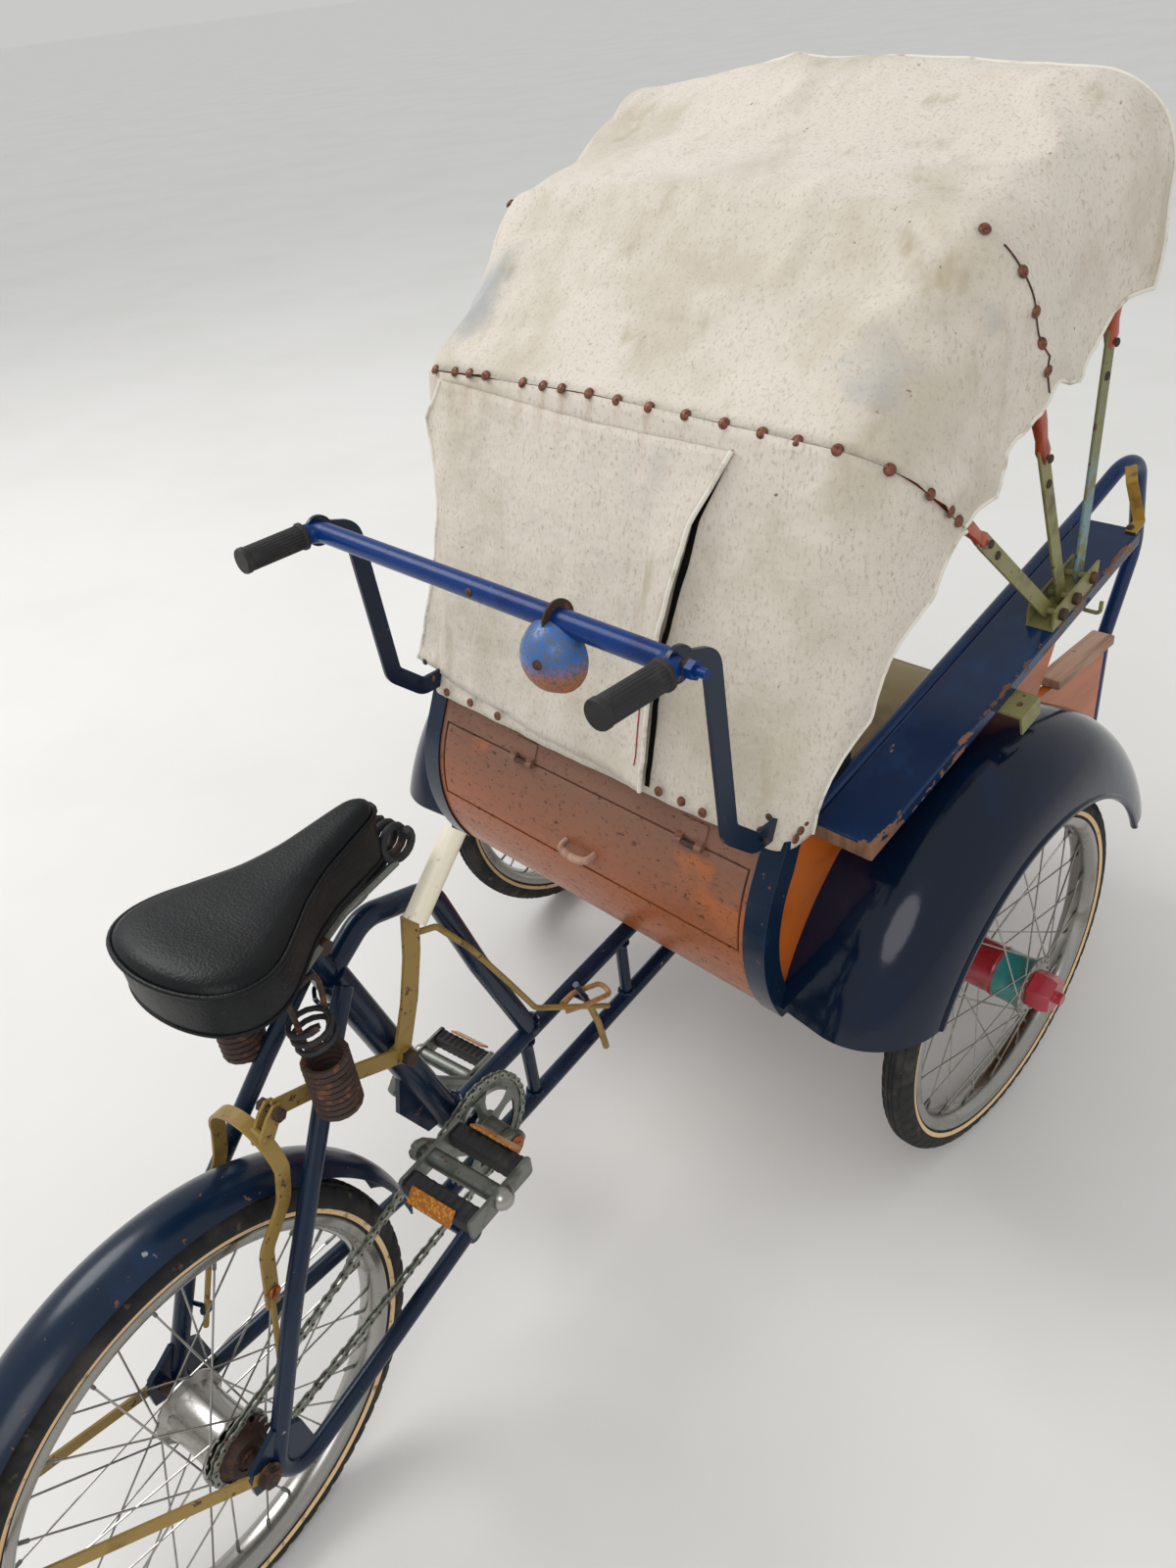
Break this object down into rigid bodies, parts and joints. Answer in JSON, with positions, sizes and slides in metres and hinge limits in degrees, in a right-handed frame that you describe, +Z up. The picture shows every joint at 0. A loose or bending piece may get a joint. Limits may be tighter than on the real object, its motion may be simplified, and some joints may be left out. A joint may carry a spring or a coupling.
{
  "type": "cycle rickshaw",
  "caption": "Three-wheeled cycle rickshaw with a canvas-hooded passenger seat between two front wheels and a rider half behind.",
  "frame": {"origin": "on the ground, below the middle of the vehicle's bounding box", "axes": "+X forward in the direction of travel of the passenger cabin, +Y to its left, +Z up"},
  "size_m": [1.8117, 0.992, 1.2728],
  "materials": {
    "bright_steel": "plated, dulled",
    "tyre": "matt",
    "red_paint": "gloss, chipped",
    "dark_steel": "matt, worn",
    "varnished_wood": "varnished, worn",
    "bare_wood": "bare",
    "worn_steel": "worn",
    "rusty_iron": "rusty",
    "khaki_cloth": "matt",
    "navy_cloth": "matt",
    "navy_paint": "gloss, chipped",
    "blue_paint": "gloss, chipped",
    "bright_blue_paint": "gloss, chipped",
    "brass": "tarnished",
    "olive_paint": "satin, worn",
    "ochre_paint": "satin, worn",
    "bell_paint": "worn to rust",
    "grip_rubber": "matt, ribbed",
    "pedal_rubber": "matt",
    "canvas": "matt, stained",
    "saddle_cover": "grained",
    "cream_plastic": "gloss"
  },
  "bodies": {
    "cabin": {"front_axle": "dark_steel", "chassis_rails": "dark_steel", "kingpin_bracket": "dark_steel", "locker_shell": "varnished_wood", "side_panels": "varnished_wood", "cabin_boards": "varnished_wood", "seat_cushion": "khaki_cloth", "backrest": "navy_cloth", "end_trims": "navy_paint", "footwell_floor": "varnished_wood", "footwell_walls": "varnished_wood", "footwell_caps": "bare_wood", "armrests": "blue_paint", "arm_tubes": "blue_paint", "arm_straps": "brass", "plank_fittings": "olive_paint", "fender_left": "navy_paint", "fender_right": "navy_paint", "crossbar": "bright_blue_paint", "grips": "grip_rubber", "crossbar_straps": "navy_paint", "bell": "bell_paint", "hood_brackets": "olive_paint", "bow_rear": "varnished_wood", "canvas_rear": "canvas", "curtain": "canvas"},
    "locker_door": {"locker_door": "varnished_wood", "door_fittings": "worn_steel"},
    "front_wheel_left": {"wheel_front_left": "bright_steel", "tyre_front_left": "tyre", "hub_cap_left": "red_paint"},
    "front_wheel_right": {"wheel_front_right": "bright_steel", "tyre_front_right": "tyre", "hub_cap_right": "red_paint"},
    "hood_mid": {"bow_mid": "varnished_wood"},
    "hood_front": {"bow_front": "varnished_wood", "canvas_front": "canvas"},
    "rear_frame": {"main_beams": "navy_paint", "seat_mast": "navy_paint", "rear_stays": "navy_paint", "rear_axle": "dark_steel", "chain": "worn_steel", "rear_mudguard": "navy_paint", "mudguard_stays": "ochre_paint", "saddle": "saddle_cover", "saddle_frame": "rusty_iron", "brake_lever": "ochre_paint", "brake_handle": "cream_plastic", "stirrup": "ochre_paint", "latch_rod": "ochre_paint"},
    "rear_wheel": {"wheel_rear": "bright_steel", "tyre_rear": "tyre", "freewheel": "rusty_iron"},
    "cranks": {"crankset": "worn_steel"},
    "pedal_right": {"pedal_right": "pedal_rubber"},
    "pedal_left": {"pedal_left": "pedal_rubber"}
  },
  "joints": [
    {"name": "steering", "type": "hinge", "parent": "cabin", "child": "rear_frame", "pos_m": [0.31086, 0, 0.331], "axis": [0, 0, 1], "range_deg": [-39.2, 20.8]},
    {"name": "front_wheel_left_spin", "type": "hinge", "parent": "cabin", "child": "front_wheel_left", "pos_m": [0.40086, 0.411, 0.254], "axis": [0, 1, 0], "continuous": true},
    {"name": "front_wheel_right_spin", "type": "hinge", "parent": "cabin", "child": "front_wheel_right", "pos_m": [0.40086, -0.411, 0.254], "axis": [0, 1, 0], "continuous": true},
    {"name": "rear_wheel_spin", "type": "hinge", "parent": "rear_frame", "child": "rear_wheel", "pos_m": [-0.62494, -0.15157, 0.254], "axis": [-0.1599, 0.9871, 0], "continuous": true},
    {"name": "crank_spin", "type": "hinge", "parent": "rear_frame", "child": "cranks", "pos_m": [-0.24983, -0.09081, 0.325], "axis": [-0.1599, 0.9871, 0], "continuous": true},
    {"name": "pedal_right_spin", "type": "hinge", "parent": "cranks", "child": "pedal_right", "pos_m": [-0.34933, -0.20621, 0.44167], "axis": [-0.1599, 0.9871, 0], "continuous": true},
    {"name": "pedal_left_spin", "type": "hinge", "parent": "cranks", "child": "pedal_left", "pos_m": [-0.15033, 0.02458, 0.20833], "axis": [-0.1599, 0.9871, 0], "continuous": true},
    {"name": "locker_door_hinge", "type": "hinge", "parent": "cabin", "child": "locker_door", "pos_m": [0.07486, 0, 0.5555], "axis": [0, 1, 0], "range_deg": [0, 85]},
    {"name": "hood_front_hinge", "type": "hinge", "parent": "cabin", "child": "hood_front", "pos_m": [0.59086, 0, 0.72827], "axis": [0, -1, 0], "range_deg": [0, 38], "deforming": ["canvas_front"]},
    {"name": "hood_mid_hinge", "type": "hinge", "parent": "cabin", "child": "hood_mid", "pos_m": [0.55086, 0, 0.71802], "axis": [0, -1, 0], "range_deg": [0, 17.1], "deforming": ["canvas_rear"]}
  ],
  "couplings": [
    {"joint": "hood_mid_hinge", "follows": "hood_front_hinge", "ratio": 0.45}
  ]
}
